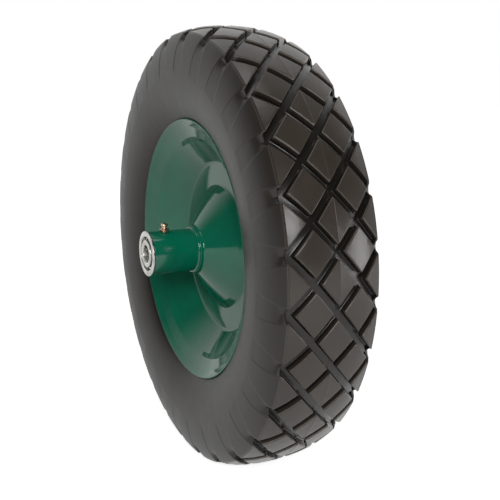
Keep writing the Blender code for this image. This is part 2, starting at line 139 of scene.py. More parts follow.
class TyreSettings(bpy.types.PropertyGroup):
    pitches: IntProperty(
        name="Pitches", description="Grooves of one hand round the tread", default=28)
    tread_turn: FloatProperty(
        name="Tread turn", description="Angle of the first groove crossing above +X",
        default=math.radians(9.2), subtype="ANGLE")
    column_step: FloatProperty(
        name="Column step", description="Across the tread, from one row of crossings to the next",
        default=0.0190, unit="LENGTH")
    crown_drop: FloatProperty(
        name="Crown drop", description="How much lower the tread lies at the shoulder",
        default=0.0065, unit="LENGTH")
    crown_power: FloatProperty(
        name="Crown power", description="Higher keeps the middle of the tread flatter", default=2.8)
    groove_depth: FloatProperty(
        name="Groove depth", description="From the lugs' faces to the groove floors",
        default=0.0062, unit="LENGTH")
    groove_floor: FloatProperty(
        name="Groove floor", description="Width of a groove's flat floor", default=0.0062,
        unit="LENGTH")
    groove_draft: FloatProperty(
        name="Groove draft", description="How far each groove wall leans out", default=0.0003,
        unit="LENGTH")
    edge_round: FloatProperty(
        name="Edge round", description="Rounding of the lugs' edges", default=0.0008, unit="LENGTH")
    seam_height: FloatProperty(
        name="Seam height", description="Height of the mould's lines, at the tread's middle and shoulders",
        default=0.0002, unit="LENGTH")
    seam_width: FloatProperty(
        name="Seam width", description="Half the width of the middle line", default=0.0004,
        unit="LENGTH")
    shoulder_line: FloatProperty(
        name="Shoulder line", description="Width of the line along each shoulder", default=0.0006,
        unit="LENGTH")
    mouth_lip: FloatProperty(
        name="Mouth lip", description="Width of a groove's wall and rounded edge, along the shoulder",
        default=0.0024, unit="LENGTH")
    scoop_length: FloatProperty(
        name="Scoop length", description="How far past the shoulder a groove's deep end runs out",
        default=0.0115, unit="LENGTH")
    panel_length: FloatProperty(
        name="Panel length", description="From the shoulder down to the end of each lug's side panel",
        default=0.0315, unit="LENGTH")
    panel_step: FloatProperty(
        name="Panel step", description="How far the side panels stand out of the side",
        default=0.00022, unit="LENGTH")
    panel_round: FloatProperty(
        name="Panel round", description="Width of the step at a side panel's edge", default=0.0010,
        unit="LENGTH")
    panel_gap: FloatProperty(
        name="Panel gap", description="Half the gap between the ends of two side panels",
        default=0.0121, unit="LENGTH")
    toe_lift: FloatProperty(
        name="Toe lift", description="How far the tyre's side stops outside the rim's edge",
        default=0.0024, unit="LENGTH")
    well_radius: FloatProperty(
        name="Well radius", description="Radius of the tyre's hidden inner face", default=0.0850,
        unit="LENGTH")


class RimSettings(bpy.types.PropertyGroup):
    sheet: FloatProperty(
        name="Sheet", description="Thickness of the pressed steel", default=0.0020, unit="LENGTH")
    edge_round: FloatProperty(
        name="Edge round", description="Rounding of the sheet's cut edges", default=0.0006,
        unit="LENGTH")
    steps: IntProperty(name="Steps", description="Facets round the rim", default=144)


class HubSettings(bpy.types.PropertyGroup):
    steps: IntProperty(name="Steps", description="Facets round the hub's pieces", default=96)
    wall: FloatProperty(
        name="Tube wall", description="Thickness of the hub tube's wall", default=0.00175,
        unit="LENGTH")
    tube_round: FloatProperty(
        name="Tube round", description="Rounding of the hub tube's ends", default=0.0004, unit="LENGTH")
    bead: FloatProperty(
        name="Weld leg", description="Size of the weld ring at each neck", default=0.0018,
        unit="LENGTH")
    bore: FloatProperty(
        name="Bore", description="Radius of the hole for the axle", default=0.00795, unit="LENGTH")
    flange: FloatProperty(
        name="Flange", description="Thickness of the outer ring's flange", default=0.0016,
        unit="LENGTH")
    ball_circle: FloatProperty(
        name="Ball circle", description="Radius of the circle on which the balls lie",
        default=0.013075, unit="LENGTH")
    ball_seat: FloatProperty(
        name="Ball groove", description="Radius of the grooves that the balls run in",
        default=0.003475, unit="LENGTH")
    outer_land: FloatProperty(
        name="Outer land", description="From the ball circle out to the outer ring's inner face",
        default=0.0025, unit="LENGTH")
    inner_land: FloatProperty(
        name="Inner land", description="From the ball circle in to the inner ring's outer face",
        default=0.0007, unit="LENGTH")
    edge_round: FloatProperty(
        name="Edge round", description="Rounding of the turned edges", default=0.0003, unit="LENGTH")


class NippleSettings(bpy.types.PropertyGroup):
    steps: IntProperty(name="Steps", description="Facets round the grease nipple", default=40)
    hex_height: FloatProperty(
        name="Hexagon height", description="Height of the grease nipple's hexagon", default=0.0030,
        unit="LENGTH")
    hex_radius: FloatProperty(
        name="Hexagon radius", description="From the middle to a corner of the hexagon",
        default=0.0046, unit="LENGTH")
    hex_hole: FloatProperty(
        name="Hexagon hole", description="Radius of the hole that the shank fills", default=0.0024,
        unit="LENGTH")
    hex_round: FloatProperty(
        name="Hexagon round", description="Rounding of the hexagon's edges", default=0.0004,
        unit="LENGTH")
    tilt: FloatProperty(
        name="Tilt", description="How far the nipple leans towards +X", default=math.radians(10),
        subtype="ANGLE")


class FinishSettings(bpy.types.PropertyGroup):
    foam: FloatVectorProperty(
        name="Foam", description="Colour of the tread", default=(0.031, 0.0245, 0.0195),
        subtype="COLOR")
    foam_worn: FloatVectorProperty(
        name="Foam, paler", description="Colour of the tread's paler patches",
        default=(0.038, 0.0305, 0.0245), subtype="COLOR")
    foam_side: FloatVectorProperty(
        name="Foam sides", description="Colour of the tyre's sides",
        default=(0.016, 0.0127, 0.0102), subtype="COLOR")
    # painted highlight: a pale colour laid on the lugs' rounded edges, standing in for the light those
    # edges catch
    foam_edge_highlight: FloatVectorProperty(
        name="Foam edges", description="Colour of the lugs' worn edges",
        default=(0.130, 0.112, 0.094), subtype="COLOR")
    # painted shade: a darker colour deep in the grooves, standing in for the shade that falls there
    foam_groove_shade: FloatVectorProperty(
        name="Foam grooves", description="Colour deep in the tread's grooves",
        default=(0.010, 0.0080, 0.0062), subtype="COLOR")
    paint: FloatVectorProperty(
        name="Paint", description="Colour of the rim and the hub", default=(0.001, 0.116, 0.063),
        subtype="COLOR")
    paint_thin: FloatVectorProperty(
        name="Paint, thin", description="Colour of the paint where it lies thinner",
        default=(0.002, 0.134, 0.074), subtype="COLOR")
    plating: FloatVectorProperty(
        name="Plating", description="Colour of the bearing rings", default=(0.60, 0.60, 0.57),
        subtype="COLOR")
    ball: FloatVectorProperty(
        name="Ball steel", description="Colour of the balls", default=(0.72, 0.72, 0.71),
        subtype="COLOR")
    brass: FloatVectorProperty(
        name="Brass", description="Colour of the grease nipple", default=(0.86, 0.58, 0.44),
        subtype="COLOR")


class StageSettings(bpy.types.PropertyGroup):
    azimuth: FloatProperty(
        name="Azimuth", description="The camera's turn about the wheel",
        default=math.radians(63.188), subtype="ANGLE")
    elevation: FloatProperty(
        name="Elevation", description="The camera's height angle", default=math.radians(11.869),
        subtype="ANGLE")
    distance: FloatProperty(
        name="Distance", description="From the wheel's centre to the camera", default=0.702807,
        unit="LENGTH")
    slide_right: FloatProperty(
        name="Slide right", description="The camera's slide to the right", default=0.02568,
        unit="LENGTH")
    slide_down: FloatProperty(
        name="Slide down", description="The camera's slide down", default=0.003618, unit="LENGTH")
    lens: FloatProperty(
        name="Lens", description="Focal length on a 36 mm sensor, in mm", default=53.56)
    floor_glow: FloatProperty(
        name="Floor glow", description="How bright the floor looks by itself beside the wheel",
        default=0.80)
    floor_gloss: FloatProperty(
        name="Floor in gloss", description="How bright the floor beside the wheel shows in gloss",
        default=0.60)
    backdrop: FloatProperty(
        name="Backdrop", description="Light that the white backdrop casts on the wheel", default=0.12)
    room: FloatProperty(
        name="Room", description="Brightness of the room in front of the wheel", default=0.07)
    main_power: FloatProperty(
        name="Main light", description="Power of the soft light above the camera, in watts", default=10)
    spark_power: FloatProperty(
        name="Spark light", description="Power of the small light beside the camera, in watts",
        default=3.5)
    tread_power: FloatProperty(
        name="Tread light", description="Power of the low light on the tread's side, in watts",
        default=5.5)
    top_power: FloatProperty(
        name="Top light", description="Power of the broad light overhead, in watts", default=5)


def rounded(corners, turn=math.radians(8)):
    """Points of a line through (radius, width) corners. A third number rounds a corner by an arc,
    no longer than half of the shorter run beside it."""
    points = [Vector(corners[0][:2])]
    for before, corner, after in zip(corners, corners[1:], corners[2:]):
        here = Vector(corner[:2])
        inwards = Vector(before[:2]) - here
        outwards = Vector(after[:2]) - here
        if len(corner) == 2:
            points.append(here)
            continue
        half_bend = (math.pi - inwards.angle(outwards)) / 2
        reach = min(corner[2] * math.tan(half_bend), min(inwards.length, outwards.length) / 2)
        radius = reach / math.tan(half_bend)
        middle = (inwards.normalized() + outwards.normalized()).normalized()
        centre = here + middle * radius / math.cos(half_bend)
        start = here + inwards.normalized() * reach - centre
        side = math.copysign(1, start.x * outwards.y - start.y * outwards.x)
        steps = max(2, round(2 * half_bend / turn))
        for step in range(steps + 1):
            points.append(centre + Matrix.Rotation(side * 2 * half_bend * step / steps, 2) @ start)
    points.append(Vector(corners[-1][:2]))
    return points


def beside(points, distance):
    """The line that runs at a distance behind another, away from its visible face."""
    runs = [(end - start).normalized() for start, end in zip(points, points[1:])]
    moved = []
    for point, before, after in zip(points, [runs[0], *runs], [*runs, runs[-1]]):
        normal = Vector((before.y + after.y, -before.x - after.x)).normalized()
        moved.append(point + normal * distance / normal.dot(Vector((after.y, -after.x))))
    return moved


def arc(centre, radius, first, last, steps):
    """Points on an arc, from one angle to another, as (radius, width)."""
    angles = (first + (last - first) * step / steps for step in range(steps + 1))
    return [Vector((centre[0] + radius * math.cos(a), centre[1] + radius * math.sin(a))) for a in angles]


def ease(share):
    """Goes smoothly from 0 to 1."""
    share = max(0, min(1, share))
    return share * share * (3 - 2 * share)


def carry(value, old_knots, new_knots):
    """Carries a value from one set of knots to another, in straight lines between them."""
    for low, high, new_low, new_high in zip(old_knots, old_knots[1:], new_knots, new_knots[1:]):
        if value <= high + MERGE:
            return new_low + (value - low) * (new_high - new_low) / (high - low)
    return value


def new_piece(name):
    """Names the object that an operator has just added."""
    piece = bpy.context.object
    piece.name = name
    piece.data.name = name
    return piece


def copy_piece(piece, name, place):
    """Copies a piece, with its own mesh moved to a place."""
    copy = bpy.data.objects.new(name, piece.data.copy())
    copy.data.transform(Matrix.Translation(place))
    bpy.context.collection.objects.link(copy)
    return copy


def choose(*pieces):
    """Selects only these pieces. The first is the active one."""
    bpy.ops.object.select_all(action="DESELECT")
    for piece in pieces:
        piece.select_set(True)
    bpy.context.view_layer.objects.active = pieces[0]


def edit(piece):
    """Opens a piece for editing, with all of it selected."""
    choose(piece)
    bpy.ops.object.mode_set(mode="EDIT")
    bpy.ops.mesh.select_mode(type="VERT")
    bpy.ops.mesh.select_all(action="SELECT")


def close_edit():
    """Ends the editing."""
    bpy.ops.object.mode_set(mode="OBJECT")


def select_parts(kind, test):
    """Selects the points (VERT) or edges (EDGE) of the edited piece that pass a test."""
    mesh = bpy.context.edit_object.data
    bm = bmesh.from_edit_mesh(mesh)
    bpy.ops.mesh.select_mode(type=kind)
    bpy.ops.mesh.select_all(action="DESELECT")
    for part in bm.verts if kind == "VERT" else bm.edges:
        part.select_set(test(part))
    bm.select_flush_mode()
    bmesh.update_edit_mesh(mesh)


def cut(place, normal, clear=False):
    """Cuts the edited piece by a plane, and clears what lies past it if asked to."""
    bpy.ops.mesh.select_all(action="SELECT")
    bpy.ops.mesh.bisect(plane_co=place, plane_no=normal, clear_outer=clear, threshold=CUT_GRIP)


def tidy_mesh():
    """Merges what coincides in the edited piece, and turns its faces outwards."""
    bpy.ops.mesh.select_all(action="SELECT")
    bpy.ops.mesh.remove_doubles(threshold=MERGE)
    bpy.ops.mesh.dissolve_degenerate(threshold=CUT_GRIP)
    bpy.ops.mesh.normals_make_consistent(inside=False)


def apply_modifier(piece, kind, **settings):
    """Adds a modifier to a piece and applies it."""
    choose(piece)
    modifier = piece.modifiers.new(kind.title(), kind)
    for key, value in settings.items():
        setattr(modifier, key, value)
    bpy.ops.object.modifier_apply(modifier=modifier.name)


def smooth(piece, angle=math.radians(35)):
    """Shades a piece smooth, but not its edges over an angle."""
    choose(piece)
    bpy.ops.object.shade_smooth_by_angle(angle=angle)


def lathe(name, outline, steps, side=1):
    """A ring is pulled and scaled through a closed outline of (radius, width) points, about the axle."""
    first = outline[0]
    bpy.ops.mesh.primitive_circle_add(
        vertices=steps, radius=first[0], location=(0, side * first[1], 0), rotation=(math.pi / 2, 0, 0))
    piece = new_piece(name)
    bpy.ops.object.transform_apply(location=True, rotation=True, scale=True)
    edit(piece)
    for before, point in zip(outline, [*outline[1:], first]):
        shift = (0, side * (point[1] - before[1]), 0)
        bpy.ops.mesh.extrude_region_move(TRANSFORM_OT_translate={"value": shift})
        growth = point[0] / before[0]
        bpy.ops.transform.resize(value=(growth, 1, growth), center_override=(0, side * point[1], 0))
    tidy_mesh()
    close_edit()
    return piece


def ring_edges(piece, places, offset):
    """Rounds the rings of a turned piece that lie at the given (radius, width) places."""
    def ring_of(vert):
        """Which of the places a point's ring lies at."""
        here = Vector((math.hypot(vert.co.x, vert.co.z), abs(vert.co.y)))
        near = (index for index, place in enumerate(places) if (here - Vector(place)).length < 4 * MERGE)
        return next(near, None)

    edit(piece)
    select_parts("EDGE", lambda edge: ring_of(edge.verts[0]) is not None
                 and ring_of(edge.verts[0]) == ring_of(edge.verts[1]))
    bpy.ops.mesh.bevel(offset=offset, segments=3, affect="EDGES")
    close_edit()


def dress(piece, material, body, *nodes):
    """Gives a piece its finish and its body, in the place of its solids."""
    piece.data.materials.clear()
    piece.data.materials.append(bpy.data.materials[material])
    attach(piece, body)
    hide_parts(*nodes)


def add_node(tree, kind, inputs=None, **options):
    """A node with its options, and its inputs as numbers or as other nodes' sockets."""
    node = tree.nodes.new(kind)
    for key, value in options.items():
        setattr(node, key, value)
    for key, value in (inputs or {}).items():
        if isinstance(value, bpy.types.NodeSocket):
            tree.links.new(value, node.inputs[key])
        else:
            node.inputs[key].default_value = value
    return node


def maths(tree, operation, *values):
    """What a sum makes of numbers or sockets."""
    return add_node(tree, "ShaderNodeMath", dict(enumerate(values)), operation=operation).outputs["Value"]


def length(tree, vector):
    """How long a vector is."""
    return add_node(tree, "ShaderNodeVectorMath", {0: vector}, operation="LENGTH").outputs["Value"]


def new_finish(name, **settings):
    """A material with its Principled shader's plain settings."""
    material = bpy.data.materials.get(name) or bpy.data.materials.new(name)
    material.use_nodes = True
    tree = material.node_tree
    shader = tree.nodes["Principled BSDF"]
    for key, value in settings.items():
        shader.inputs[key.replace("_", " ")].default_value = value
    return tree, shader


def wire(tree, shader, colour, roughness, normal=None):
    """Links a finish's colour, roughness and fine relief to its shader."""
    tree.links.new(colour, shader.inputs["Base Color"])
    tree.links.new(roughness, shader.inputs["Roughness"])
    if normal is not None:
        tree.links.new(normal, shader.inputs["Normal"])


def speckle(tree, scale, detail=3.0, roughness=0.55, stretch=(1, 1, 1)):
    """Noise that sits still on the piece, from 0 to 1."""
    place = add_node(tree, "ShaderNodeTexCoord").outputs["Object"]
    mapping = add_node(tree, "ShaderNodeMapping", {"Vector": place, "Scale": stretch})
    noise = add_node(tree, "ShaderNodeTexNoise", {
        "Vector": mapping.outputs["Vector"], "Scale": scale, "Detail": detail, "Roughness": roughness})
    return noise.outputs["Fac"]


def spread(tree, source, low, high, first=0.35, last=0.65, kind="LINEAR"):
    """Carries a value from one range, first to last, to another, low to high."""
    inputs = {"Value": source, "From Min": first, "From Max": last, "To Min": low, "To Max": high}
    return add_node(tree, "ShaderNodeMapRange", inputs, interpolation_type=kind).outputs["Result"]


def blend_colours(tree, share, first, second):
    """Two colours blended by a share. The first may be a socket."""
    if not isinstance(first, bpy.types.NodeSocket):
        first = (*first, 1)
    inputs = {"Factor": share, "A": first, "B": (*second, 1)}
    return add_node(tree, "ShaderNodeMix", inputs, data_type="RGBA").outputs["Result"]


def duller(colour, share):
    """A colour at a share of its brightness."""
    return tuple(share * part for part in colour)


def bump(tree, height, distance, strength, normal=None):
    """Fine relief, laid over the relief in normal."""
    inputs = {"Height": height, "Distance": distance, "Strength": strength}
    if normal is not None:
        inputs["Normal"] = normal
    return add_node(tree, "ShaderNodeBump", inputs).outputs["Normal"]


def tread_places(tree, tyre):
    """Where the tread is, from 0 to 1, and how deep a point lies under its lugs' faces."""
    shoulder = 2 * tyre.column_step
    place = add_node(tree, "ShaderNodeTexCoord").outputs["Object"]
    width = maths(tree, "ABSOLUTE", add_node(tree, "ShaderNodeSeparateXYZ", {"Vector": place}).outputs["Y"])
    flat = add_node(tree, "ShaderNodeVectorMath", {0: place, 1: (1, 0, 1)}, operation="MULTIPLY")
    radius = length(tree, flat.outputs["Vector"])
    between = spread(tree, width, low=1, high=0, first=shoulder - 0.0004, last=shoulder + 0.0012)
    outside = spread(tree, radius, low=0, high=1, first=TREAD_RADIUS - 0.026, last=TREAD_RADIUS - 0.014)
    on_tread = maths(tree, "MULTIPLY", between, outside)
    drop = maths(tree, "POWER", maths(tree, "DIVIDE", width, shoulder), tyre.crown_power)
    level = maths(tree, "MULTIPLY_ADD", drop, tyre.crown_drop, radius)
    depth = maths(tree, "SUBTRACT", TREAD_RADIUS - tyre.seam_height, level)
    return on_tread, depth


def foam_finish(finish, tyre):
    """Moulded foam skin: satin sides and a polished tread, with painted shade deep in its grooves and a
    painted highlight along its lugs' rounded edges.
    """
    tree, shader = new_finish("tyre", Metallic=0.0, Specular_IOR_Level=0.40)
    on_tread, depth = tread_places(tree, tyre)
    clouds = speckle(tree, scale=22, detail=4.0)
    pores = speckle(tree, scale=1900, detail=2.0, roughness=0.6)
    waves = speckle(tree, scale=75, detail=2.0, roughness=0.5)
    # painted highlight: a thin band just below the lugs' faces, on their rounded edges, is coloured paler
    # as if lit
    below_face = spread(tree, depth, low=0, high=1, first=0.00030, last=0.00045)
    above_wall = spread(tree, depth, low=1, high=0, first=0.0007, last=0.0013)
    edge_highlight_mask = maths(tree, "MULTIPLY", maths(tree, "MULTIPLY", below_face, above_wall), on_tread)
    # painted shade: points deeper than a millimetre under the lugs' faces turn darker, as shade would make
    # them
    groove_shade_mask = maths(tree, "MULTIPLY", spread(tree, depth, low=0, high=1, first=0.0010, last=0.0050), on_tread)
    on_side = spread(tree, on_tread, low=1, high=0, first=0, last=1)
    colour = blend_colours(tree, spread(tree, clouds, low=0, high=1), finish.foam, finish.foam_worn)
    colour = blend_colours(tree, on_side, colour, finish.foam_side)
    # the painted highlight on the lugs' edges is blended in here
    colour = blend_colours(tree, edge_highlight_mask, colour, finish.foam_edge_highlight)
    # the painted shade in the grooves is blended in here
    colour = blend_colours(tree, groove_shade_mask, colour, finish.foam_groove_shade)
    satin = spread(tree, on_tread, low=0.36, high=0.20, first=0, last=1)
    rough = maths(tree, "MULTIPLY_ADD", clouds, 0.10, satin)
    pitted = bump(tree, pores, distance=0.00005, strength=0.5)
    wire(tree, shader, colour, rough, bump(tree, waves, distance=0.0005, strength=0.3, normal=pitted))


def paint_finish(finish):
    """Thick gloss paint: a faint orange peel, thinner on the high spots."""
    tree, shader = new_finish("green_paint", Metallic=0.0, Specular_IOR_Level=0.50)
    peel = speckle(tree, scale=260, detail=1.0, roughness=0.5)
    flow = speckle(tree, scale=30, detail=2.0, roughness=0.5)
    colour = blend_colours(tree, spread(tree, flow, low=0, high=1), finish.paint, finish.paint_thin)
    peeled = bump(tree, peel, distance=0.00003, strength=0.30)
    surface = bump(tree, flow, distance=0.0008, strength=0.30, normal=peeled)
    wire(tree, shader, colour, spread(tree, flow, low=0.06, high=0.10), surface)


def plated_finish(finish):
    """Zinc-plated steel with the rings that turning left."""
    tree, shader = new_finish("bright_steel", Metallic=1.0)
    rings = speckle(tree, scale=900, detail=2.0, roughness=0.6, stretch=(0.15, 1, 0.15))
    tarnish = speckle(tree, scale=160)
    dull = duller(finish.plating, 0.72)
    colour = blend_colours(tree, spread(tree, tarnish, low=0, high=1), finish.plating, dull)
    relief = bump(tree, rings, distance=0.00008, strength=0.5)
    wire(tree, shader, colour, spread(tree, tarnish, low=0.20, high=0.38), relief)


def ball_finish(finish):
    """Polished steel with a film of grease."""
    tree, shader = new_finish("ball_steel", Metallic=1.0, Coat_Weight=0.4, Coat_Roughness=0.12)
    smear = speckle(tree, scale=420, detail=2.0)
    dull = duller(finish.ball, 0.62)
    colour = blend_colours(tree, spread(tree, smear, low=0, high=1), finish.ball, dull)
    wire(tree, shader, colour, spread(tree, smear, low=0.07, high=0.20))


def brass_finish(finish):
    """Yellow-pink plating on a turned fitting."""
    tree, shader = new_finish("brass", Metallic=1.0)
    turning = speckle(tree, scale=700, detail=2.0)
    dull = duller(finish.brass, 0.70)
    colour = blend_colours(tree, spread(tree, turning, low=0, high=1), finish.brass, dull)
    relief = bump(tree, turning, distance=0.00006, strength=0.5)
    wire(tree, shader, colour, spread(tree, turning, low=0.18, high=0.34), relief)


def rim_face():
    """The visible face of one rim half, from the neck's open end out to the flange's edge."""
    return rounded(RIM_FACE)


def half_pitch(tyre):
    """Round the tread, from a row of groove crossings to the next."""
    return math.pi / tyre.pitches * TREAD_RADIUS


def crown(tyre, width):
    """How much the tread lies below its top at a width from the mid-plane."""
    shoulder = 2 * tyre.column_step
    return tyre.crown_drop * min(abs(width) / shoulder, 1) ** tyre.crown_power


def model_lug(tyre):
    """One diamond of the tread, laid flat: a groove floor all round, leaning walls and a raised face.

    X runs across the tread, Y round it, and Z is zero at the lug's face.
    """
    corner = Vector((tyre.column_step, half_pitch(tyre)))
    bpy.ops.mesh.primitive_circle_add(vertices=4, radius=1, fill_type="NGON", location=(0, 0, 0))
    lug = new_piece("lug")
    edit(lug)
    bpy.ops.transform.resize(value=(corner.x, corner.y, 1), center_override=(0, 0, 0))
    bpy.ops.transform.translate(value=(0, 0, -tyre.groove_depth))
    bpy.ops.mesh.select_mode(type="FACE")
    bpy.ops.mesh.inset(thickness=tyre.groove_floor / 2, use_even_offset=True)
    bpy.ops.mesh.inset(thickness=tyre.groove_draft, depth=tyre.groove_depth, use_even_offset=True)

    def inside(edge):
        """Whether an edge belongs to the lug, and not to the outline or the floor's corners."""
        return all(abs(v.co.x) / corner.x + abs(v.co.y) / corner.y < 1 - MERGE for v in edge.verts)

    select_parts("EDGE", inside)
    bpy.ops.mesh.bevel(offset=tyre.edge_round, segments=3, affect="EDGES", clamp_overlap=True)
    for share in LUG_CUTS:
        for normal, distance in (((1, 0, 0), corner.x), ((0, 1, 0), corner.y)):
            cut(Vector(normal) * share * distance, normal)
    close_edit()
    return lug


def side_line(tyre, top):
    """The tyre's side from the tread's shoulder to the toe beside the rim, as (width, height) below
    the tread's top. Its points lie closer together near the shoulder."""
    shoulder = Vector((2 * tyre.column_step, -tyre.crown_drop))
    rim_edge = rim_face()[-1]
    toe = Vector((rim_edge.y, rim_edge.x + tyre.toe_lift - top))
    high_handle = shoulder + Vector(SHOULDER_HANDLE)
    low_handle = toe + Vector(TOE_HANDLE)
    fine = interpolate_bezier(shoulder, high_handle, low_handle, toe, SIDE_POINTS)
    return [fine[index] for index in SIDE_ROWS]


def well_line(tyre, rim, top):
    """The tyre's hidden face: down the rim's back, then flat to the mid-plane."""
    line = beside(rim_face(), rim.sheet + FIT)[::-1]
    seated = [point for point in line if point.x > tyre.well_radius]
    kept = [*seated[::WELL_STEP], seated[-1]]
    points = [Vector((point.y, point.x - top)) for point in kept]
    floor = Vector((points[-1].x - (seated[-1].x - tyre.well_radius), tyre.well_radius - top))
    return [*points, floor, Vector((0, floor.y))]


def model_pitch(tyre, rim, top):
    """Half of one pitch of the tyre, laid flat, from the centre line out, round and in again."""
    reach = half_pitch(tyre)
    shoulder = 2 * tyre.column_step
    lug = model_lug(tyre)
    places = [(1, 0), (0, -1), (0, 1), (2, -1), (2, 1)]
    copies = [
        copy_piece(lug, "lug_copy", (column * tyre.column_step, row * reach, 0))
        for column, row in places]
    bpy.data.objects.remove(lug)
    choose(*copies)
    bpy.ops.object.join()
    pitch = new_piece("pitch")
    edit(pitch)
    bpy.ops.mesh.remove_doubles(threshold=MERGE)
    cut((0, 0, 0), (-1, 0, 0), clear=True)
    cut((shoulder, 0, 0), (1, 0, 0), clear=True)
    cut((0, -reach, 0), (0, -1, 0), clear=True)
    cut((0, reach, 0), (0, 1, 0), clear=True)
    cut((tyre.seam_width, 0, 0), (1, 0, 0))
    cut((shoulder - tyre.shoulder_line, 0, 0), (1, 0, 0))
    bm = bmesh.from_edit_mesh(pitch.data)
    for vert in bm.verts:
        vert.co.z -= crown(tyre, vert.co.x)
        if vert.co.x > shoulder - MERGE:
            vert.co.z += tyre.seam_height
    bmesh.update_edit_mesh(pitch.data)
    select_parts("VERT", lambda vert: abs(vert.co.x) < MERGE)
    bpy.ops.transform.translate(value=(0, 0, tyre.seam_height))
    extrude_side(tyre, rim, top)
    close_edit()
    return pitch


def panel_edge(tyre, fallen):
    """Half the gap between two lugs' side panels, at a drop below the shoulder."""
    corner = math.hypot(tyre.column_step, half_pitch(tyre)) / tyre.column_step
    first = corner * (tyre.groove_floor / 2 + tyre.groove_draft + tyre.edge_round)
    return first + (tyre.panel_gap - first) * min(fallen / tyre.panel_length, 1)


def mouth_depth(tyre, fallen, along):
    """How deep a point lies in a groove's mouth: in the scoop at its end, or in the shallow recess
    between two side panels."""
    if fallen >= tyre.panel_length:
        return 0
    recess = tyre.panel_step * ease((panel_edge(tyre, fallen) - abs(along)) / tyre.panel_round)
    left = 1 - fallen / tyre.scoop_length
    if left <= 0:
        return recess
    wall = ease(SCOOP_WALL * (1 - abs(along) / (panel_edge(tyre, 0) * left ** SCOOP_NARROWS)))
    return max(recess, tyre.groove_depth * left ** SCOOP_RISES * wall)


def extrude_side(tyre, rim, top):
    """Pulls the tread's shoulder out and round to the rim, row by row, with the groove's mouth."""
    side = side_line(tyre, top)
    shoulder = side[0]
    rows = side + well_line(tyre, rim, top)
    reach = half_pitch(tyre)
    select_parts("EDGE", lambda edge: edge.is_boundary
                 and all(abs(vert.co.x - shoulder.x) < MERGE for vert in edge.verts))
    mesh = bpy.context.edit_object.data
    for number in range(1, len(rows)):
        before, target, after = rows[number - 1], rows[number], rows[min(number + 1, len(rows) - 1)]
        shift = (target.x - before.x, 0, target.y - before.y)
        bpy.ops.mesh.extrude_region_move(TRANSFORM_OT_translate={"value": shift})
        if number >= len(side):
            continue
        run = (after - before).normalized()
        outwards = Vector((0, 1)).lerp(Vector((-run.y, run.x)), min(1, number / LEAN_ROWS)).normalized()
        old_edge = panel_edge(tyre, shoulder.y - before.y)
        new_edge = panel_edge(tyre, shoulder.y - target.y)
        lip = tyre.panel_round if number > 1 else tyre.mouth_lip
        old_knots = (0, old_edge - lip, old_edge, reach)
        new_knots = (0, new_edge - tyre.panel_round, new_edge, reach)
        bm = bmesh.from_edit_mesh(mesh)
        for vert in bm.verts:
            if not vert.select:
                continue
            along = carry(abs(vert.co.y), old_knots, new_knots)
            place = target - outwards * mouth_depth(tyre, shoulder.y - target.y, along)
            vert.co = (place.x, math.copysign(along, vert.co.y), place.y)
        bmesh.update_edit_mesh(mesh)


class WHEEL_OT_tyre(bpy.types.Operator):
    """Models the foam tyre: one pitch of its tread and side, repeated round the axle"""
    bl_idname = "wheel.tyre"
    bl_label = "Tyre"

    def execute(self, context):
        tyre = context.scene.wheel_tyre
        top = TREAD_RADIUS - tyre.seam_height
        pitch = model_pitch(tyre, context.scene.wheel_rim, top)
        for vert in pitch.data.vertices:
            angle = tyre.tread_turn + vert.co.y / TREAD_RADIUS
            radius = top + vert.co.z
            vert.co = (radius * math.cos(angle), vert.co.x, radius * math.sin(angle))
        edit(pitch)
        turn = 2 * math.pi / tyre.pitches
        bpy.ops.mesh.spin(
            steps=tyre.pitches - 1, dupli=True, angle=turn * (tyre.pitches - 1), use_auto_merge=False,
            center=(0, 0, 0), axis=(0, 1, 0))
        tidy_mesh()
        close_edit()
        apply_modifier(pitch, "MIRROR", use_axis=(False, True, False), merge_threshold=MERGE)
        edit(pitch)
        tidy_mesh()
        close_edit()
        pitch.name = "foam_tyre"
        pitch.data.name = "foam_tyre"
        smooth(pitch)
        apply_modifier(pitch, "WEIGHTED_NORMAL", keep_sharp=True)
        dress(pitch, "tyre", WHEEL_BODY, "tyre")
        return {"FINISHED"}


class WHEEL_OT_rim(bpy.types.Operator):
    """Models both pressed halves of the rim"""
    bl_idname = "wheel.rim"
    bl_label = "Rim"

    def execute(self, context):
        rim = context.scene.wheel_rim
        face = rim_face()
        back = beside(face, rim.sheet)
        ends = [face[0], face[-1], back[0], back[-1]]
        for name, side in SIDES:
            half = lathe(f"rim_pressing_{name}", [*face, *back[::-1]], rim.steps, side)
            ring_edges(half, ends, rim.edge_round)
            smooth(half)
            dress(half, "green_paint", WHEEL_BODY, f"rim_half_{name}")
        return {"FINISHED"}


class WHEEL_OT_hub_tube(bpy.types.Operator):
    """Models the hub tube"""
    bl_idname = "wheel.hub_tube"
    bl_label = "Hub tube"

    def execute(self, context):
        hub = context.scene.wheel_hub
        radius = outer_radius("hub_tube")
        half = outer_width("hub_tube")
        bore = radius - hub.wall
        corners = [(radius, half), (radius, -half), (bore, -half), (bore, half)]
        tube = lathe("hub_pipe", corners, hub.steps)
        ring_edges(tube, [(radius, half), (bore, half)], hub.tube_round)
        smooth(tube)
        dress(tube, "green_paint", WHEEL_BODY, "hub_tube")
        return {"FINISHED"}


class WHEEL_OT_neck_welds(bpy.types.Operator):
    """Models the weld ring at each neck of the rim"""
    bl_idname = "wheel.neck_welds"
    bl_label = "Neck welds"

    def execute(self, context):
        hub = context.scene.wheel_hub
        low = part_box("neck_weld_back")[0].y
        corner = (outer_radius("hub_tube") + FIT, low)
        bead = [*arc(corner, hub.bead, math.pi / 2, 0, steps=8), Vector(corner)]
        for name, side in SIDES:
            ring = lathe(f"weld_bead_{name}", bead, hub.steps, side)
            smooth(ring)
            dress(ring, "green_paint", WHEEL_BODY, f"neck_weld_{name}")
        return {"FINISHED"}


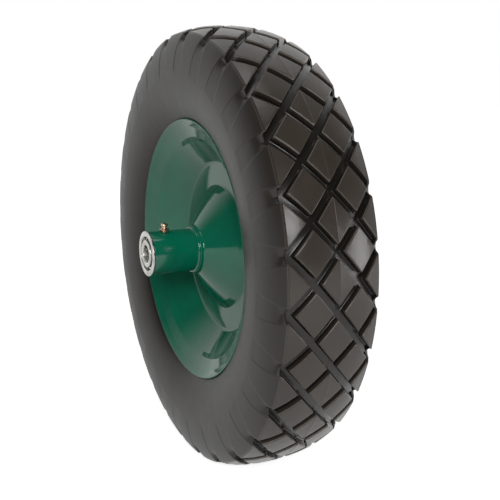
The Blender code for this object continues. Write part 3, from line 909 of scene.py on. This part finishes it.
class WHEEL_OT_races(bpy.types.Operator):
    """Models the outer and inner ring of each bearing"""
    bl_idname = "wheel.races"
    bl_label = "Bearing rings"

    def execute(self, context):
        hub = context.scene.wheel_hub
        ball_width = sum(corner.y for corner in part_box("ball_back_01")) / 2
        centre = (hub.ball_circle, ball_width)
        back_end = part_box("outer_race_back")[0].y
        flange = (outer_radius("outer_race_back"), outer_width("outer_race_back"))
        under = flange[1] - hub.flange
        body_radius = outer_radius("hub_tube") - hub.wall - FIT
        face = outer_width("inner_race_back")
        outer_land = hub.ball_circle + hub.outer_land
        outer_reach = math.acos(hub.outer_land / hub.ball_seat)
        inner_land = hub.ball_circle - hub.inner_land
        inner_reach = math.acos(-hub.inner_land / hub.ball_seat)
        outer = [
            flange, (flange[0], under), (body_radius, under), (body_radius, back_end),
            (outer_land, back_end),
            *arc(centre, hub.ball_seat, -outer_reach, outer_reach, steps=14),
            (outer_land, flange[1]),
        ]
        inner = [
            (inner_land, face),
            *arc(centre, hub.ball_seat, inner_reach, 2 * math.pi - inner_reach, steps=18),
            (inner_land, back_end), (hub.bore, back_end), (hub.bore, face),
        ]
        for name, side in SIDES:
            ring = lathe(f"flanged_ring_{name}", outer, hub.steps, side)
            ring_edges(ring, [outer[0], outer[1], outer[-1]], hub.edge_round)
            smooth(ring)
            dress(ring, "bright_steel", WHEEL_BODY, f"outer_race_{name}")
            core = lathe(f"inner_ring_{name}", inner, hub.steps, side)
            ring_edges(core, [inner[0], inner[-1]], hub.edge_round)
            smooth(core)
            dress(core, "bright_steel", f"inner_race_{name}", f"inner_race_{name}")
        return {"FINISHED"}


class WHEEL_OT_balls(bpy.types.Operator):
    """Models one ball and copies it to every place in both bearings"""
    bl_idname = "wheel.balls"
    bl_label = "Balls"

    def execute(self, context):
        low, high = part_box("ball_front_01")
        radius = (high.z - low.z) / 2
        bpy.ops.mesh.primitive_cube_add(size=2 * radius, location=(0, 0, 0))
        ball = new_piece("ball")
        edit(ball)
        bpy.ops.mesh.subdivide(number_cuts=9)
        close_edit()
        apply_modifier(ball, "CAST", factor=1.0, radius=0, size=radius, use_radius_as_size=False)
        smooth(ball, math.pi)
        for name, _side in SIDES:
            nodes = [node for node in sorted(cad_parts) if node.startswith(f"ball_{name}_")]
            for node in nodes:
                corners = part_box(node)
                copy = copy_piece(ball, f"polished_{node}", (corners[0] + corners[1]) / 2)
                dress(copy, "ball_steel", f"ball_ring_{name}", node)
        bpy.data.objects.remove(ball)
        return {"FINISHED"}


class WHEEL_OT_grease_nipple(bpy.types.Operator):
    """Models the grease nipple: a turned body on a hexagon"""
    bl_idname = "wheel.grease_nipple"
    bl_label = "Grease nipple"

    def execute(self, context):
        nipple = context.scene.wheel_nipple
        body = lathe("grease_fitting", rounded(NIPPLE_BODY, turn=math.radians(20)), nipple.steps)
        body.data.transform(Matrix.Rotation(math.pi / 2, 4, "X"))
        middle = (0, 0, FIT + nipple.hex_height / 2)
        bpy.ops.mesh.primitive_cylinder_add(
            vertices=6, radius=nipple.hex_radius, depth=nipple.hex_height, location=middle)
        hexagon = new_piece("hexagon")
        bpy.ops.object.transform_apply(location=True, rotation=True, scale=True)
        apply_modifier(hexagon, "BEVEL", width=nipple.hex_round, segments=2, limit_method="ANGLE")
        bpy.ops.mesh.primitive_cylinder_add(
            vertices=nipple.steps, radius=nipple.hex_hole, depth=2 * nipple.hex_height, location=middle)
        hollow = new_piece("hollow")
        bpy.ops.object.transform_apply(location=True, rotation=True, scale=True)
        apply_modifier(hexagon, "BOOLEAN", object=hollow, operation="DIFFERENCE")
        apply_modifier(body, "BOOLEAN", object=hexagon, operation="UNION")
        bpy.data.objects.remove(hexagon)
        bpy.data.objects.remove(hollow)
        low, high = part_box("grease_nipple")
        place = Matrix.Translation((0, (low.y + high.y) / 2, 0)) @ Matrix.Rotation(nipple.tilt, 4, "Y")
        body.data.transform(place @ Matrix.Translation((0, 0, outer_radius("hub_tube"))))
        smooth(body, math.radians(30))
        dress(body, "brass", WHEEL_BODY, "grease_nipple")
        return {"FINISHED"}


class WHEEL_OT_finishes(bpy.types.Operator):
    """Makes the five finishes"""
    bl_idname = "wheel.finishes"
    bl_label = "Finishes"

    def execute(self, context):
        finish = context.scene.wheel_finish
        foam_finish(finish, context.scene.wheel_tyre)
        for make in (paint_finish, plated_finish, ball_finish, brass_finish):
            make(finish)
        return {"FINISHED"}


def mirror_rays(tree, path):
    """1 for what gloss and glass show, and 0 for the rest."""
    return maths(tree, "ADD", path.outputs["Is Glossy Ray"], path.outputs["Is Transmission Ray"])


def make_floor(stage):
    """A white floor that shows the wheel's shadow and fades into the backdrop further off."""
    bpy.ops.mesh.primitive_plane_add(size=30, location=(0, 0, CAD_BOX[0][2]))
    floor = new_piece("floor")
    material = bpy.data.materials.new("floor_white")
    material.use_nodes = True
    tree = material.node_tree
    tree.nodes.remove(tree.nodes["Principled BSDF"])
    away = length(tree, add_node(tree, "ShaderNodeTexCoord").outputs["Object"])
    path = add_node(tree, "ShaderNodeLightPath")
    looks = spread(tree, away, stage.floor_glow, 1.0, *GLOW_FADE, kind="SMOOTHSTEP")
    gloss = spread(tree, away, stage.floor_gloss, 1.0, *GLOSS_FADE, kind="SMOOTHSTEP")
    mirrored = maths(tree, "MULTIPLY", mirror_rays(tree, path), gloss)
    level = maths(tree, "MULTIPLY_ADD", path.outputs["Is Camera Ray"], looks, mirrored)
    white = (FLOOR_WHITE, FLOOR_WHITE, FLOOR_WHITE, 1)
    diffuse = add_node(tree, "ShaderNodeBsdfDiffuse", {"Color": white})
    shine = add_node(tree, "ShaderNodeEmission", {"Color": (1, 1, 1, 1), "Strength": level})
    both = {0: diffuse.outputs["BSDF"], 1: shine.outputs["Emission"]}
    total = add_node(tree, "ShaderNodeAddShader", both)
    tree.links.new(total.outputs["Shader"], tree.nodes["Material Output"].inputs["Surface"])
    floor.data.materials.append(material)


def make_world(stage):
    """White to the camera, and to gloss behind the wheel. The room in front of it is plain and dim."""
    world = bpy.data.worlds.new("surroundings")
    bpy.context.scene.world = world
    world.use_nodes = True
    tree = world.node_tree
    path = add_node(tree, "ShaderNodeLightPath")
    direction = add_node(tree, "ShaderNodeTexCoord").outputs["Generated"]
    away = (-math.sin(stage.azimuth), math.cos(stage.azimuth), 0)
    behind = add_node(tree, "ShaderNodeVectorMath", {0: direction, 1: away}, operation="DOT_PRODUCT")
    white = maths(tree, "MULTIPLY_ADD", mirror_rays(tree, path), 1 - stage.backdrop, stage.backdrop)
    level = spread(tree, behind.outputs["Value"], stage.room, white, *ROOM_FADE, kind="SMOOTHSTEP")
    background = tree.nodes["Background"]
    background.inputs["Color"].default_value = (1, 1, 1, 1)
    seen = maths(tree, "MAXIMUM", level, path.outputs["Is Camera Ray"])
    tree.links.new(seen, background.inputs["Strength"])


def add_panel(name, place, size, power):
    """A soft square light that faces the wheel."""
    lamp = bpy.data.lights.new(name, "AREA")
    lamp.shape = "SQUARE"
    lamp.size = size
    lamp.energy = power
    panel = bpy.data.objects.new(name, lamp)
    panel.location = place
    panel.rotation_euler = (-Vector(place)).to_track_quat("-Z", "Y").to_euler()
    panel.visible_camera = False
    bpy.context.collection.objects.link(panel)


def make_camera(stage):
    """The camera, turned to the wheel's centre and slid across its own view."""
    across = Vector((math.cos(stage.azimuth), math.sin(stage.azimuth), 0))
    flat = math.cos(stage.elevation)
    back = Vector((
        math.sin(stage.azimuth) * flat, -math.cos(stage.azimuth) * flat, math.sin(stage.elevation)))
    up = back.cross(across)
    camera = bpy.data.objects.new("camera", bpy.data.cameras.new("camera"))
    camera.data.lens = stage.lens
    camera.data.clip_start = 0.01
    place = back * stage.distance + across * stage.slide_right - up * stage.slide_down
    turn = Matrix((across, up, back)).transposed().to_4x4()
    camera.matrix_world = Matrix.Translation(place) @ turn
    bpy.context.collection.objects.link(camera)
    bpy.context.scene.camera = camera


class WHEEL_OT_stage(bpy.types.Operator):
    """Sets the white floor, the surroundings, the lights and the camera"""
    bl_idname = "wheel.stage"
    bl_label = "Stage"

    def execute(self, context):
        stage = context.scene.wheel_stage
        context.scene.view_settings.view_transform = "Standard"
        make_floor(stage)
        make_world(stage)
        for name, place, size, power in LIGHTS:
            add_panel(name, place, size, getattr(stage, power))
        make_camera(stage)
        return {"FINISHED"}


class WHEEL_PT_panel(bpy.types.Panel):
    bl_label = "Flat-free wheel"
    bl_idname = "WHEEL_PT_panel"
    bl_space_type = "VIEW_3D"
    bl_region_type = "UI"
    bl_category = "Wheel"

    def draw(self, context):
        for operator in OPERATORS:
            self.layout.operator(operator.bl_idname)
        for name in SETTINGS:
            settings = getattr(context.scene, name)
            box = self.layout.box()
            box.label(text=name.replace("_", " "))
            for key in settings.__annotations__:
                box.prop(settings, key)


SETTINGS = {
    "wheel_tyre": TyreSettings,
    "wheel_rim": RimSettings,
    "wheel_hub": HubSettings,
    "wheel_nipple": NippleSettings,
    "wheel_finish": FinishSettings,
    "wheel_stage": StageSettings,
}
OPERATORS = (
    WHEEL_OT_finishes, WHEEL_OT_tyre, WHEEL_OT_rim, WHEEL_OT_hub_tube, WHEEL_OT_neck_welds,
    WHEEL_OT_races, WHEEL_OT_balls, WHEEL_OT_grease_nipple, WHEEL_OT_stage,
)


def register():
    for settings in SETTINGS.values():
        bpy.utils.register_class(settings)
    for operator in OPERATORS:
        bpy.utils.register_class(operator)
    bpy.utils.register_class(WHEEL_PT_panel)
    for name, settings in SETTINGS.items():
        setattr(bpy.types.Scene, name, PointerProperty(type=settings))


def unregister():
    for name in SETTINGS:
        delattr(bpy.types.Scene, name)
    bpy.utils.unregister_class(WHEEL_PT_panel)
    for thing in (*OPERATORS, *SETTINGS.values()):
        bpy.utils.unregister_class(thing)


def main():
    register()
    bpy.ops.object.select_all(action="DESELECT")
    bpy.ops.wheel.finishes()
    bpy.ops.wheel.tyre()
    bpy.ops.wheel.rim()
    bpy.ops.wheel.hub_tube()
    bpy.ops.wheel.neck_welds()
    bpy.ops.wheel.races()
    bpy.ops.wheel.balls()
    bpy.ops.wheel.grease_nipple()
    bpy.ops.wheel.stage()


if __name__ == "__main__":
    main()
